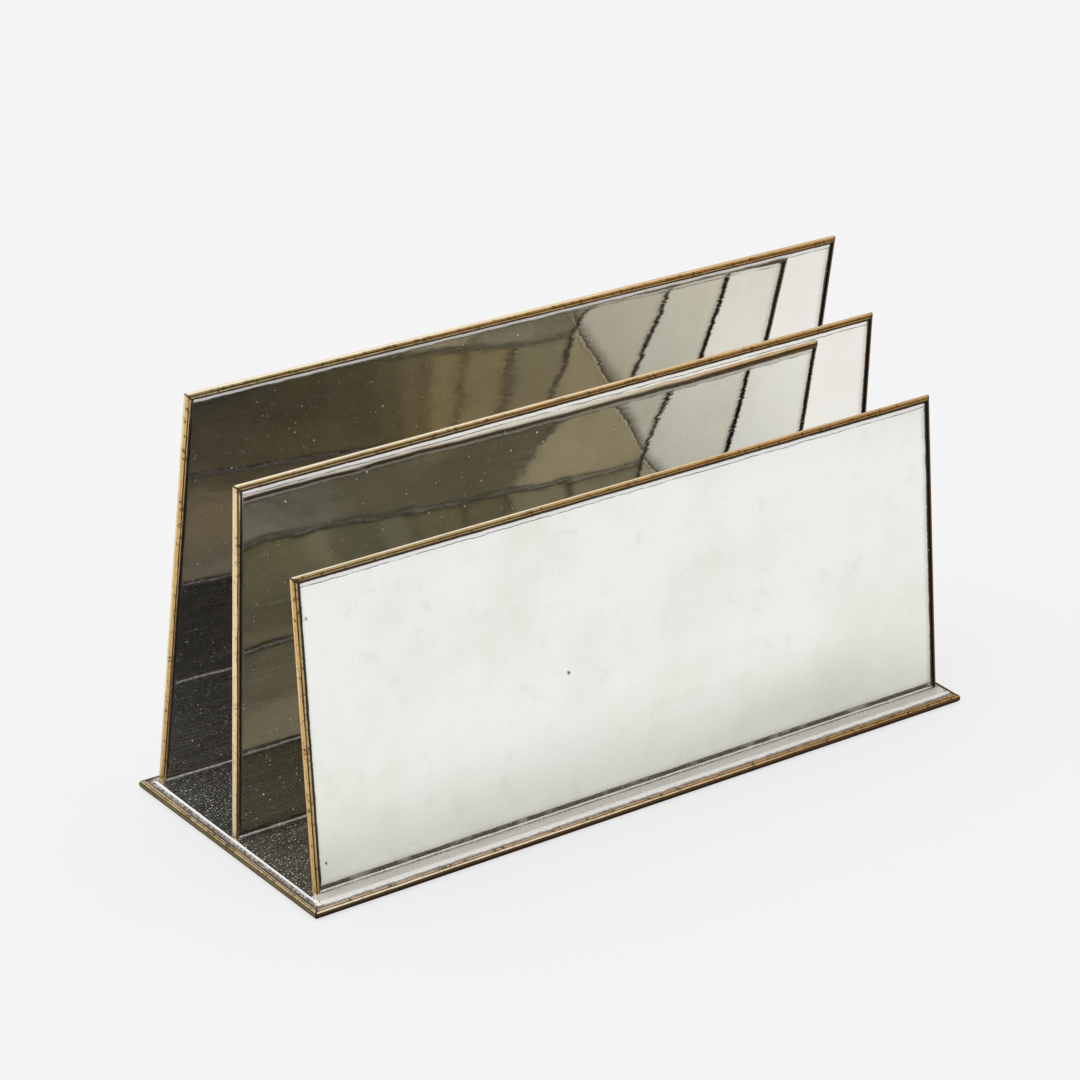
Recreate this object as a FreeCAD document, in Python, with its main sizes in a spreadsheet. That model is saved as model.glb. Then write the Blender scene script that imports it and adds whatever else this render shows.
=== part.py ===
import FreeCAD, Part
import math
import os
import re
import Sketcher

# Letter rack of sheet pewter edged with half-round brass wire.
# Three upright panels stand across a flat base: a low one that leans back,
# a middle one that stands upright and a tall one that leans forward.
# Origin: middle of the base on the table top. X runs along the panels,
# +Y points to the tall panel at the back, +Z points up. Millimetres and degrees.

doc = FreeCAD.newDocument("letter_rack")

SIZES = [
    # alias, value, what it measures
    ("base_length", 250.0, "whole base, along X, over the edge wires"),
    ("base_depth", 96.6, "whole base, along Y, over the edge wires"),
    ("wire_radius", 1.45, "round side of the half-round wire; its flat side is twice as wide"),
    ("plate_thickness", 1.2, "sheet of the base plate"),
    ("floor_height", 3.7, "upper face of the base plate above the table"),
    ("border_run", 1.9, "width of the sloping border of the base plate"),
    ("border_drop", 1.05, "how far that border falls from the floor to the wire"),
    ("border_rounding", 0.9, "soft bend between floor and border"),
    ("floor_corner_radius", 2.5, "corners of the flat floor, seen from above"),
    ("rim_corner_radius", 0.4, "corners of the plate at the wires, seen from above"),
    ("sheet_thickness", 1.6, "sheet of the three panels"),
    ("panel_inset", 0.95, "end of a centred panel inside the end of the flat floor"),
    ("front_setback", 9.1, "base front edge to the foot of the low panel"),
    ("middle_setback", 49.3, "base front edge to the foot of the middle panel"),
    ("back_setback", 8.1, "base back edge to the middle of the tall panel's foot"),
    ("front_height", 97.8, "low panel with its top wire, along the sheet"),
    ("middle_height", 115.8, "middle panel with its top wire"),
    ("back_height", 135.7, "tall panel with its top wire, along the sheet"),
    ("front_lean_angle", 7.8, "degrees, leaning backwards"),
    ("middle_lean_angle", 0.0, "degrees, upright"),
    ("back_lean_angle", -6.6, "degrees, leaning forwards"),
    ("front_slide", 0.9, "low panel soldered this far to the right of the middle"),
    ("middle_slide", -0.9, "middle panel soldered this far to the left of it"),
    ("back_slide", 0.0, "tall panel soldered over the middle"),
    ("front_turn_angle", 0.0, "degrees, low panel square to the base, seen from above"),
    ("middle_turn_angle", 0.0, "degrees, middle panel square to the base"),
    ("back_turn_angle", -1.4, "degrees, tall panel soldered on slightly askew"),
    ("seam_leg", 0.9, "side of the solder bead along a panel's foot"),
    ("panel_mitre_gap", 0.1, "open line of the mitres at a panel's top corners"),
    ("base_mitre_gap", 0.3, "open line of the mitres at the base's corners"),
]

# Lengths that follow from the sizes above.
DERIVED = [
    ("rim_length", "=base_length - 2 * wire_radius"),
    ("rim_depth", "=base_depth - 2 * wire_radius"),
    ("floor_length", "=rim_length - 2 * border_run"),
    ("floor_depth", "=rim_depth - 2 * border_run"),
    ("rim_height", "=floor_height - border_drop"),
    ("hollow_length", "=rim_length - 2 * plate_thickness"),
    ("hollow_depth", "=rim_depth - 2 * plate_thickness"),
    ("panel_length", "=floor_length - 2 * panel_inset"),
    ("sheet_length", "=panel_length - 2 * wire_radius"),
    # How far the outlines of cuts reach past the piece that they cut.
    ("cut_margin", "=1.5 * wire_radius"),
]

sheet = doc.addObject("Spreadsheet::Sheet", "sizes")
for row, (alias, value, note) in enumerate(SIZES, start=1):
    sheet.set("A%d" % row, alias)
    sheet.set("B%d" % row, str(value))
    sheet.set("C%d" % row, note)
    sheet.setAlias("B%d" % row, alias)
for row, (alias, formula) in enumerate(DERIVED, start=len(SIZES) + 1):
    sheet.set("A%d" % row, alias)
    sheet.set("B%d" % row, formula)
    sheet.setAlias("B%d" % row, alias)
doc.recompute()


def value_of(formula):
    """Value of a formula in the aliases of the size sheet."""
    return float(sheet.evalExpression(formula))


def in_sheet(formula):
    """The same formula as another object of the document has to write it."""
    for row in SIZES + DERIVED:
        formula = re.sub(r"\b%s\b" % row[0], "sizes." + row[0], formula)
    return formula


# ---------------------------------------------------------------- sketch helpers

def new_body(label):
    body = doc.addObject("PartDesign::Body", label)
    body.Label = label
    return body


def sketch_on(body, role, name, height=None):
    """Sketch on one of the body's own origin planes, or at a height above it."""
    plane = [item for item in body.Origin.OriginFeatures if item.Role == role][0]
    sketch = body.newObject("Sketcher::SketchObject", name)
    sketch.AttachmentSupport = [(plane, "")]
    sketch.MapMode = "FlatFace"
    if height:
        offset = FreeCAD.Vector(0, 0, value_of(height))
        sketch.AttachmentOffset = FreeCAD.Placement(offset, FreeCAD.Rotation())
        sketch.setExpression("AttachmentOffset.Base.z", in_sheet(height))
    return sketch


def bind(sketch, kind, *where, formula):
    """Dimension of a sketch that follows the size sheet."""
    number = sketch.addConstraint(Sketcher.Constraint(kind, *where, value_of(formula)))
    sketch.setExpression("Constraints[%d]" % number, in_sheet(formula))


def pin_point(sketch, line, end, x, y):
    """Ties one end of a line to a place given by two formulas."""
    bind(sketch, "DistanceX", -1, 1, line, end, formula=x)
    bind(sketch, "DistanceY", -1, 1, line, end, formula=y)


def polygon(sketch, corners):
    """Closed outline through corners given as pairs of formulas."""
    places = [FreeCAD.Vector(value_of(x), value_of(y), 0) for x, y in corners]
    count = len(places)
    first = sketch.GeometryCount
    for index in range(count):
        segment = Part.LineSegment(places[index], places[(index + 1) % count])
        sketch.addGeometry(segment, False)
    for index in range(count):
        following = first + (index + 1) % count
        sketch.addConstraint(Sketcher.Constraint("Coincident", first + index, 2, following, 1))
    for index, (x, y) in enumerate(corners):
        pin_point(sketch, first + index, 1, x, y)


def half_round(sketch, start, end):
    """Half disc: the flat side from start to end, the round side on its right hand."""
    start_place = FreeCAD.Vector(value_of(start[0]), value_of(start[1]), 0)
    end_place = FreeCAD.Vector(value_of(end[0]), value_of(end[1]), 0)
    middle = (start_place + end_place) / 2
    along = end_place - start_place
    angle = math.atan2(along.y, along.x)
    circle = Part.Circle(middle, FreeCAD.Vector(0, 0, 1), along.Length / 2)
    flat = sketch.addGeometry(Part.LineSegment(start_place, end_place), False)
    bow = sketch.addGeometry(Part.ArcOfCircle(circle, angle + math.pi, angle + 2 * math.pi), False)
    sketch.addConstraint(Sketcher.Constraint("Coincident", bow, 1, flat, 1))
    sketch.addConstraint(Sketcher.Constraint("Coincident", bow, 2, flat, 2))
    sketch.addConstraint(Sketcher.Constraint("PointOnObject", bow, 3, flat))
    pin_point(sketch, flat, 1, *start)
    pin_point(sketch, flat, 2, *end)


def rounded_rectangle(sketch, length, depth, radius):
    """Rectangle about the sketch's origin with four equal round corners."""
    half_x = value_of(length) / 2
    half_y = value_of(depth) / 2
    round_off = value_of(radius)
    quarter = math.pi / 2
    signs = [(1, 1), (-1, 1), (-1, -1), (1, -1)]
    arcs = []
    for index, (side_x, side_y) in enumerate(signs):
        centre = FreeCAD.Vector(side_x * (half_x - round_off), side_y * (half_y - round_off), 0)
        circle = Part.Circle(centre, FreeCAD.Vector(0, 0, 1), round_off)
        arc = Part.ArcOfCircle(circle, index * quarter, (index + 1) * quarter)
        arcs.append(sketch.addGeometry(arc, False))
    sides = []
    for index in range(4):
        start = sketch.getPoint(arcs[index], 2)
        end = sketch.getPoint(arcs[(index + 1) % 4], 1)
        sides.append(sketch.addGeometry(Part.LineSegment(start, end), False))
    for index in range(4):
        following = arcs[(index + 1) % 4]
        sketch.addConstraint(Sketcher.Constraint("Tangent", arcs[index], 2, sides[index], 1))
        sketch.addConstraint(Sketcher.Constraint("Tangent", sides[index], 2, following, 1))
    for index in range(3):
        sketch.addConstraint(Sketcher.Constraint("Equal", arcs[index], arcs[index + 1]))
    sketch.addConstraint(Sketcher.Constraint("Horizontal", sides[0]))
    sketch.addConstraint(Sketcher.Constraint("Vertical", sides[1]))
    sketch.addConstraint(Sketcher.Constraint("Horizontal", sides[2]))
    sketch.addConstraint(Sketcher.Constraint("Vertical", sides[3]))
    sketch.addConstraint(Sketcher.Constraint("Symmetric", arcs[0], 3, arcs[2], 3, -1, 1))
    bind(sketch, "Radius", arcs[0], formula=radius)
    bind(sketch, "DistanceX", sides[1], 1, sides[3], 1, formula=length)
    bind(sketch, "DistanceY", sides[2], 1, sides[0], 1, formula=depth)


def pad(body, sketch, name, length, below=None):
    """Pad to one side; with below, also that far to the other side."""
    feature = body.newObject("PartDesign::Pad", name)
    feature.Profile = sketch
    feature.setExpression("Length", in_sheet(length))
    if below:
        feature.SideType = "Two sides"
        feature.setExpression("Length2", in_sheet(below))
    return feature


def pad_both_ways(body, sketch, name, length):
    """Pad centred on the sketch's plane."""
    feature = body.newObject("PartDesign::Pad", name)
    feature.Profile = sketch
    feature.SideType = "Symmetric"
    feature.setExpression("Length", in_sheet(length))
    return feature


def cut_both_ways(body, sketch, name):
    """Pocket right through the body on both sides of the sketch's plane."""
    feature = body.newObject("PartDesign::Pocket", name)
    feature.Profile = sketch
    feature.SideType = "Symmetric"
    feature.Type = "ThroughAll"
    return feature


# ------------------------------------------------------------------------- base

def build_base_plate():
    """Sheet bent down all round: a sloping border, then a short skirt to the table."""
    body = new_body("base_plate")
    skirt = sketch_on(body, "XY_Plane", "skirt_outline")
    rounded_rectangle(skirt, "rim_length", "rim_depth", "rim_corner_radius")
    pad(body, skirt, "skirt", "rim_height")

    border_foot = sketch_on(body, "XY_Plane", "border_foot", "rim_height")
    rounded_rectangle(border_foot, "rim_length", "rim_depth", "rim_corner_radius")
    border_head = sketch_on(body, "XY_Plane", "border_head", "floor_height")
    rounded_rectangle(border_head, "floor_length", "floor_depth", "floor_corner_radius")
    border = body.newObject("PartDesign::AdditiveLoft", "sloping_border")
    border.Profile = border_foot
    border.Sections = [border_head]
    border.Ruled = True

    # The hollow underneath leaves the skirt as thick as the sheet.
    skirt_inside = sketch_on(body, "XY_Plane", "skirt_inside")
    rounded_rectangle(skirt_inside, "hollow_length", "hollow_depth", "rim_corner_radius")
    well = body.newObject("PartDesign::Pocket", "well")
    well.Profile = skirt_inside
    well.Reversed = True
    well.setExpression("Length", in_sheet("rim_height - plate_thickness"))
    hollow_foot = sketch_on(body, "XY_Plane", "hollow_foot", "rim_height - plate_thickness")
    rounded_rectangle(hollow_foot, "hollow_length", "hollow_depth", "rim_corner_radius")
    hollow_head = sketch_on(body, "XY_Plane", "hollow_head", "floor_height - plate_thickness")
    rounded_rectangle(hollow_head, "floor_length - 2 * plate_thickness",
                      "floor_depth - 2 * plate_thickness", "floor_corner_radius")
    hollow = body.newObject("PartDesign::SubtractiveLoft", "underside")
    hollow.Profile = hollow_foot
    hollow.Sections = [hollow_head]
    hollow.Ruled = True
    doc.recompute()

    top = value_of("floor_height")
    bends = []
    for number, edge in enumerate(hollow.Shape.Edges, start=1):
        if all(abs(vertex.Z - top) < 0.01 for vertex in edge.Vertexes):
            bends.append("Edge%d" % number)
    bend = body.newObject("PartDesign::Fillet", "soft_bend")
    bend.Base = (hollow, bends)
    bend.setExpression("Radius", in_sheet("border_rounding"))
    return body


def base_wire(label, along_x, outward):
    """Half-round wire along one side of the base, mitred at both ends.

    The body's own origin lies on the middle of the wire's flat side, on the table.
    outward is +1 or -1: the side of the base that the wire edges.
    """
    body = new_body(label)
    length = "base_length" if along_x else "base_depth"
    setback = "(base_depth / 2 - wire_radius)" if along_x else "(base_length / 2 - wire_radius)"
    axis = "y" if along_x else "x"
    place = "%d * %s" % (outward, setback)
    base = FreeCAD.Vector(0, value_of(place), 0) if along_x else FreeCAD.Vector(value_of(place), 0, 0)
    body.Placement = FreeCAD.Placement(base, FreeCAD.Rotation())
    body.setExpression("Placement.Base." + axis, in_sheet(place))

    # The round side has to face outward, on the right hand of the flat side.
    profile = sketch_on(body, "YZ_Plane" if along_x else "XZ_Plane", label + "_profile")
    low = ("0", "0")
    high = ("0", "2 * wire_radius")
    if outward > 0:
        half_round(profile, low, high)
    else:
        half_round(profile, high, low)
    pad_both_ways(body, profile, label + "_length", length)

    # At each end the mitre runs from the outer corner of the base inwards at 45 degrees.
    mitre = sketch_on(body, "XY_Plane", label + "_mitres")
    for end in (1, -1):
        outer = "%d * (%s / 2 - base_mitre_gap / 2 + cut_margin)" % (end, length)
        tip = "%d * (%s / 2 + wire_radius + cut_margin)" % (end, length)
        inner = "%d * (%s / 2 - base_mitre_gap / 2 - wire_radius - cut_margin)" % (end, length)
        outside = "%d * (wire_radius + cut_margin)" % outward
        inside = "%d * (0 - cut_margin)" % outward
        corners = [(outer, outside), (inner, inside), (tip, inside), (tip, outside)]
        if not along_x:
            corners = [(y, x) for x, y in corners]
        polygon(mitre, corners)
    cut_both_ways(body, mitre, label + "_mitre_cut")
    return body


# ----------------------------------------------------------------------- panels

def stand_on_floor(body, panel, leaning=True):
    """Puts a body's origin on the floor at the middle of a panel's foot.

    The body turns with the panel, and leans with it if leaning is true.
    """
    turn = FreeCAD.Rotation(FreeCAD.Vector(0, 0, 1), value_of(panel["turn"]))
    lean = FreeCAD.Rotation(FreeCAD.Vector(1, 0, 0), -value_of(panel["lean"]) if leaning else 0)
    foot = FreeCAD.Vector(value_of(panel["slide"]), value_of(panel["foot"]), value_of("floor_height"))
    body.Placement = FreeCAD.Placement(foot, turn * lean)
    body.setExpression("Placement.Base.x", in_sheet(panel["slide"]))
    body.setExpression("Placement.Base.y", in_sheet(panel["foot"]))
    body.setExpression("Placement.Base.z", in_sheet("floor_height"))
    body.setExpression("Placement.Rotation.Yaw", in_sheet(panel["turn"]))
    if leaning:
        body.setExpression("Placement.Rotation.Roll", in_sheet("-1 * " + panel["lean"]))


def trim_to_floor(body, name, panel):
    """Cuts off what reaches below the floor, which is level though the body leans."""
    sketch = sketch_on(body, "XY_Plane", name + "_floor_line")
    level = FreeCAD.Rotation(FreeCAD.Vector(1, 0, 0), value_of(panel["lean"]))
    sketch.AttachmentOffset = FreeCAD.Placement(FreeCAD.Vector(), level)
    sketch.setExpression("AttachmentOffset.Rotation.Roll", in_sheet(panel["lean"]))
    x_far = "panel_length / 2 + cut_margin"
    y_far = "wire_radius + sheet_thickness + cut_margin"
    polygon(sketch, [("-1 * (%s)" % x_far, "-1 * (%s)" % y_far), (x_far, "-1 * (%s)" % y_far),
                     (x_far, y_far), ("-1 * (%s)" % x_far, y_far)])
    cut = body.newObject("PartDesign::Pocket", name + "_foot_cut")
    cut.Profile = sketch
    cut.setExpression("Length", in_sheet("2 * cut_margin"))
    return cut


def panel_sheet(label, panel):
    """Flat pewter sheet between the wires, cut level at its foot."""
    body = new_body(label)
    stand_on_floor(body, panel)
    outline = sketch_on(body, "XZ_Plane", label + "_outline")
    left = "-1 * sheet_length / 2"
    right = "sheet_length / 2"
    low = "-1 * cut_margin"
    high = panel["height"] + " - wire_radius"
    polygon(outline, [(left, low), (right, low), (right, high), (left, high)])
    pad_both_ways(body, outline, label + "_sheet", "sheet_thickness")
    trim_to_floor(body, label, panel)
    return body


def top_wire(label, panel):
    """Half-round wire along the top of a panel, mitred at both ends."""
    body = new_body(label)
    stand_on_floor(body, panel)
    seat = panel["height"] + " - wire_radius"
    profile = sketch_on(body, "YZ_Plane", label + "_profile")
    half_round(profile, ("wire_radius", seat), ("-1 * wire_radius", seat))
    pad_both_ways(body, profile, label + "_length", "panel_length")

    mitre = sketch_on(body, "XZ_Plane", label + "_mitres")
    for end in (1, -1):
        outer = "%d * (panel_length / 2 - panel_mitre_gap / 2 + cut_margin)" % end
        inner = "%d * (panel_length / 2 - panel_mitre_gap / 2 - wire_radius - cut_margin)" % end
        tip = "%d * (panel_length / 2 + wire_radius + cut_margin)" % end
        above = panel["height"] + " + cut_margin"
        below = seat + " - cut_margin"
        polygon(mitre, [(outer, above), (inner, below), (tip, below), (tip, above)])
    cut_both_ways(body, mitre, label + "_mitre_cut")
    return body


def side_wire(label, panel, side):
    """Half-round wire down one end of a panel: mitred above, cut level at the floor."""
    body = new_body(label)
    stand_on_floor(body, panel)
    height = panel["height"]
    seat = "%d * sheet_length / 2" % side
    profile = sketch_on(body, "XY_Plane", label + "_profile")
    if side < 0:
        half_round(profile, (seat, "wire_radius"), (seat, "-1 * wire_radius"))
    else:
        half_round(profile, (seat, "-1 * wire_radius"), (seat, "wire_radius"))
    pad(body, profile, label + "_length", height, below="cut_margin")

    mitre = sketch_on(body, "XZ_Plane", label + "_mitre")
    outer = "%d * (panel_length / 2 + cut_margin)" % side
    inner = "%d * (sheet_length / 2 - cut_margin)" % side
    outer_level = height + " - panel_mitre_gap / 2 + cut_margin"
    inner_level = height + " - panel_mitre_gap / 2 - wire_radius - cut_margin"
    above = height + " + wire_radius + cut_margin"
    polygon(mitre, [(outer, outer_level), (inner, inner_level), (inner, above), (outer, above)])
    cut_both_ways(body, mitre, label + "_mitre_cut")
    trim_to_floor(body, label, panel)
    return body


def solder_seam(label, panel):
    """Two thin three-cornered beads of solder, in front of and behind a panel's foot."""
    body = new_body(label)
    body.AllowCompound = True
    stand_on_floor(body, panel, leaning=False)
    section = sketch_on(body, "YZ_Plane", label + "_section")
    lean = "(%s * 1deg)" % panel["lean"]
    for side in (-1, 1):
        face = "%d * sheet_thickness / 2 / cos%s" % (side, lean)
        far = "%s + %d * seam_leg" % (face, side)
        up_y = "%s + seam_leg * sin%s" % (face, lean)
        up_z = "seam_leg * cos" + lean
        polygon(section, [(face, "0"), (far, "0"), (up_y, up_z)])
    pad_both_ways(body, section, label + "_length", "sheet_length")
    return body


# --------------------------------------------------------------------- assembly

PANELS = {
    "front": {
        "foot": "front_setback - base_depth / 2",
        "height": "front_height",
        "lean": "front_lean_angle",
        "slide": "front_slide",
        "turn": "front_turn_angle",
    },
    "middle": {
        "foot": "middle_setback - base_depth / 2",
        "height": "middle_height",
        "lean": "middle_lean_angle",
        "slide": "middle_slide",
        "turn": "middle_turn_angle",
    },
    "back": {
        "foot": "base_depth / 2 - back_setback",
        "height": "back_height",
        "lean": "back_lean_angle",
        "slide": "back_slide",
        "turn": "back_turn_angle",
    },
}

pieces = [build_base_plate()]
pieces.append(base_wire("base_wire_front", True, -1))
pieces.append(base_wire("base_wire_back", True, 1))
pieces.append(base_wire("base_wire_left", False, -1))
pieces.append(base_wire("base_wire_right", False, 1))
for name, panel in PANELS.items():
    pieces.append(panel_sheet(name + "_panel", panel))
    pieces.append(top_wire(name + "_wire_top", panel))
    pieces.append(side_wire(name + "_wire_left", panel, -1))
    pieces.append(side_wire(name + "_wire_right", panel, 1))
    pieces.append(solder_seam(name + "_solder_seam", panel))

doc.recompute()

# ----------------------------------------------------------------- check, export

for item in doc.Objects:
    if "Invalid" in item.State or "Error" in item.State:
        raise RuntimeError("%s did not build: %s" % (item.Label, item.State))
for piece in pieces:
    if piece.Shape.isNull() or not piece.Shape.isValid():
        raise RuntimeError(piece.Label + " has no valid shape")

os.makedirs("parts", exist_ok=True)
for piece in pieces:
    piece.Shape.exportStep(os.path.join("parts", piece.Label + ".step"))
    box = piece.Shape.BoundBox
    print("%-20s %d solid(s) %9.2f mm3  x %.2f..%.2f  y %.2f..%.2f  z %.2f..%.2f" % (
        piece.Label, len(piece.Shape.Solids), piece.Shape.Volume,
        box.XMin, box.XMax, box.YMin, box.YMax, box.ZMin, box.ZMax))
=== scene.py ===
from collections import namedtuple
import math

import bmesh
import bpy
from mathutils import Matrix, Vector


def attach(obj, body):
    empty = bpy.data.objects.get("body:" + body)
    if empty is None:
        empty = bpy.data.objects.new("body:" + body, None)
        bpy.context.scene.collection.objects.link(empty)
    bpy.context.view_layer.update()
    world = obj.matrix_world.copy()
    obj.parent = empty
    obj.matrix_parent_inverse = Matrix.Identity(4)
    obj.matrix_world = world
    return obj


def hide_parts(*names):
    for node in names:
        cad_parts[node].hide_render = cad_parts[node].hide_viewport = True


# Letter rack of polished sheet pewter, edged with half-round brass wire.
# Metres. X along the panels, +Y towards the tall panel at the back, +Z up.

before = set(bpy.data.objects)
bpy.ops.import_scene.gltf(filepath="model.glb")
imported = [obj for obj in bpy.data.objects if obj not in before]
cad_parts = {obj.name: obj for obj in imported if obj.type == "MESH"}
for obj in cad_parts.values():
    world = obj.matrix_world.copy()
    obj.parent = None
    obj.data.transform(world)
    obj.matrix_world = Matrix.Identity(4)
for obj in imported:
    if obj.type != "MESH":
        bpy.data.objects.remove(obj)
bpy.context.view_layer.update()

# Sizes in millimetres.
MM = 0.001
BASE_LENGTH = 250.0
BASE_DEPTH = 96.6
FLOOR_HEIGHT = 3.7
FLOOR_LENGTH = 243.3
FLOOR_DEPTH = 89.9
PANEL_LENGTH = 241.4
SHEET_LENGTH = 238.5
SHEET_THICKNESS = 1.6
WIRE_RADIUS = 1.45
BEAD_RADIUS = 0.25

# Each panel: x and y of the middle of its foot, height over the wire (mm), lean and turn (degrees).
PANELS = {
    "front": {"slide": 0.9, "foot": -39.2, "height": 97.8, "lean": 7.8, "turn": 0.0},
    "middle": {"slide": -0.9, "foot": 1.0, "height": 115.8, "lean": 0.0, "turn": 0.0},
    "back": {"slide": 0.0, "foot": 40.2, "height": 135.7, "lean": -6.6, "turn": -1.4},
}


# ------------------------------------------------------------- shader node helpers

# Noise: how many features to a unit of place, its levels of detail and how strong the fine ones are.
# stretch multiplies the place along x, y and z first, and turn turns it about y.
Pattern = namedtuple("Pattern", "scale detail rough stretch turn", defaults=(None, 0.0))


def feed(tree, socket, value):
    """Links an input to the socket given as value, or sets it to the plain value."""
    if isinstance(value, bpy.types.NodeSocket):
        tree.links.new(value, socket)
    else:
        socket.default_value = value


def add_node(tree, kind, inputs=None, **settings):
    """New node with its settings, and its inputs either set or linked."""
    made = tree.nodes.new(kind)
    for name, value in settings.items():
        setattr(made, name, value)
    for socket, value in (inputs or {}).items():
        feed(tree, made.inputs[socket], value)
    return made


def use_group(tree, group, inputs):
    return add_node(tree, "ShaderNodeGroup", inputs, node_tree=group).outputs


def maths(tree, operation, *values, clamp=False):
    made = add_node(tree, "ShaderNodeMath", dict(enumerate(values)), operation=operation)
    made.use_clamp = clamp
    return made.outputs[0]


def minus(tree, value, less):
    return maths(tree, "SUBTRACT", value, less)


def plus(tree, value, more, clamp=False):
    return maths(tree, "ADD", value, more, clamp=clamp)


def times_plus(tree, value, factor, more):
    return maths(tree, "MULTIPLY_ADD", value, factor, more)


def product(tree, *masks):
    result = masks[0]
    for mask in masks[1:]:
        result = maths(tree, "MULTIPLY", result, mask)
    return result


def strongest(tree, *masks):
    most = masks[0]
    for mask in masks[1:]:
        most = maths(tree, "MAXIMUM", most, mask)
    return most


def fade(tree, value, start, end, low=0.0, high=1.0):
    """Smooth step of value: low at start, high at end."""
    made = add_node(tree, "ShaderNodeMapRange", {
        "Value": value, "From Min": start, "From Max": end, "To Min": low, "To Max": high,
    }, interpolation_type="SMOOTHSTEP")
    return made.outputs["Result"]


def line(tree, value, middle, width, soft=0.5):
    """1 where value is near middle, over a width that fades out at its soft share."""
    off = maths(tree, "ABSOLUTE", minus(tree, value, middle))
    return fade(tree, off, width / 2, width / 2 * (1 - soft))


def blend(tree, amount, under, over, how="MIX"):
    """Colour mix; under and over are colours or sockets."""
    made = add_node(tree, "ShaderNodeMix", data_type="RGBA", blend_type=how)
    feed(tree, made.inputs["Factor"], amount)
    feed(tree, made.inputs[6], under)
    feed(tree, made.inputs[7], over)
    return made.outputs[2]


def stretch(tree, place, amounts, turn=(0.0, 0.0, 0.0)):
    made = add_node(tree, "ShaderNodeMapping", {
        "Vector": place, "Rotation": turn, "Scale": amounts,
    }, vector_type="POINT")
    return made.outputs[0]


def noise(tree, place, pattern):
    if pattern.stretch:
        place = stretch(tree, place, pattern.stretch, (0.0, pattern.turn, 0.0))
    made = add_node(tree, "ShaderNodeTexNoise", {
        "Vector": place, "Scale": pattern.scale, "Detail": pattern.detail, "Roughness": pattern.rough,
    }, noise_dimensions="3D")
    return made.outputs["Fac"]


def split(tree, vector):
    return add_node(tree, "ShaderNodeSeparateXYZ", {"Vector": vector}).outputs


def join(tree, x=0.0, y=0.0, z=0.0):
    return add_node(tree, "ShaderNodeCombineXYZ", {"X": x, "Y": y, "Z": z}).outputs[0]


def vector_maths(tree, operation, *vectors, output="Vector"):
    made = add_node(tree, "ShaderNodeVectorMath", dict(enumerate(vectors)), operation=operation)
    return made.outputs[output]


def wander(tree, drift, drift_reach, fray, fray_reach):
    """Distance in mm, on both sides of 0, that makes an edge wander and fray."""
    slow = times_plus(tree, drift, drift_reach, -drift_reach / 2)
    return times_plus(tree, fray, fray_reach, minus(tree, slow, fray_reach / 2))


def grey(level):
    return (level, level, level, 1.0)


FLOAT = "NodeSocketFloat"
VECTOR = "NodeSocketVector"
COLOUR = "NodeSocketColor"
FINISH_OUTPUTS = [("Color", COLOUR), ("Roughness", FLOAT), ("Metallic", FLOAT), ("Height", FLOAT)]


def new_group(name, inputs, outputs):
    """Empty node group; inputs are (name, socket type, default) and outputs (name, socket type)."""
    group = bpy.data.node_groups.new(name, "ShaderNodeTree")
    for socket, kind, default in inputs:
        made = group.interface.new_socket(name=socket, in_out="INPUT", socket_type=kind)
        if default is not None:
            made.default_value = default
    for socket, kind in outputs:
        group.interface.new_socket(name=socket, in_out="OUTPUT", socket_type=kind)
    source = group.nodes.new("NodeGroupInput")
    result = group.nodes.new("NodeGroupOutput")
    return group, source.outputs, result.inputs


# --------------------------------------------------------- dust and fine scratches

# A speck's reach, as a share of its cell: the least, and how much more the biggest has.
SPECK_REACH = 0.17
SPECK_GROWTH = 0.22
# The higher these powers, the fewer specks are big, or strong.
SPECK_BIG = 4.0
SPECK_STRONG = 2.0
# Where a speck ends and where it is full, as shares of its reach.
SPECK_EDGE = (1.0, 0.5)

BRUSHED = Pattern(1.0, 3.0, 0.6, stretch=(0.035, 1.0, 2.6))
LONG_SCUFFS = Pattern(1.0, 1.0, 0.5, stretch=(0.05, 1.0, 3.4), turn=0.14)
CROSS_SCUFFS = Pattern(1.0, 1.0, 0.5, stretch=(0.08, 1.0, 2.9), turn=-0.75)
SCUFFED_PLACES = Pattern(0.045, 2.0, 0.5)
# A name that ends in SHOW holds the levels of a pattern between which a mark sets in and, where there are
# four numbers, the mark's least and most strength.
LONG_SHOW = (0.74, 0.80)
CROSS_SHOW = (0.77, 0.82)
SCUFFED_SHOW = (0.4, 0.6)


def dust_group():
    """Pale specks lying on a face, from places in its own plane."""
    group, given, result = new_group(
        "dust_specks",
        [("Place", VECTOR, None), ("Density", FLOAT, 0.2), ("Cell", FLOAT, 1.1), ("Least", FLOAT, 0.2)],
        [("Mask", FLOAT)])
    cells = add_node(group, "ShaderNodeTexVoronoi", {
        "Vector": given["Place"], "Scale": maths(group, "DIVIDE", 1.0, given["Cell"]), "Randomness": 1.0,
    }, voronoi_dimensions="2D", feature="F1")
    draws = add_node(group, "ShaderNodeSeparateColor", {"Color": cells.outputs["Color"]}).outputs
    chosen = maths(group, "LESS_THAN", draws[0], given["Density"])
    reach = times_plus(group, maths(group, "POWER", draws[1], SPECK_BIG), SPECK_GROWTH, SPECK_REACH)
    speck = fade(group, maths(group, "DIVIDE", cells.outputs["Distance"], reach), *SPECK_EDGE)
    strength = plus(group, maths(group, "POWER", draws[2], SPECK_STRONG), given["Least"], clamp=True)
    group.links.new(product(group, speck, chosen, strength), result["Mask"])
    return group


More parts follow.
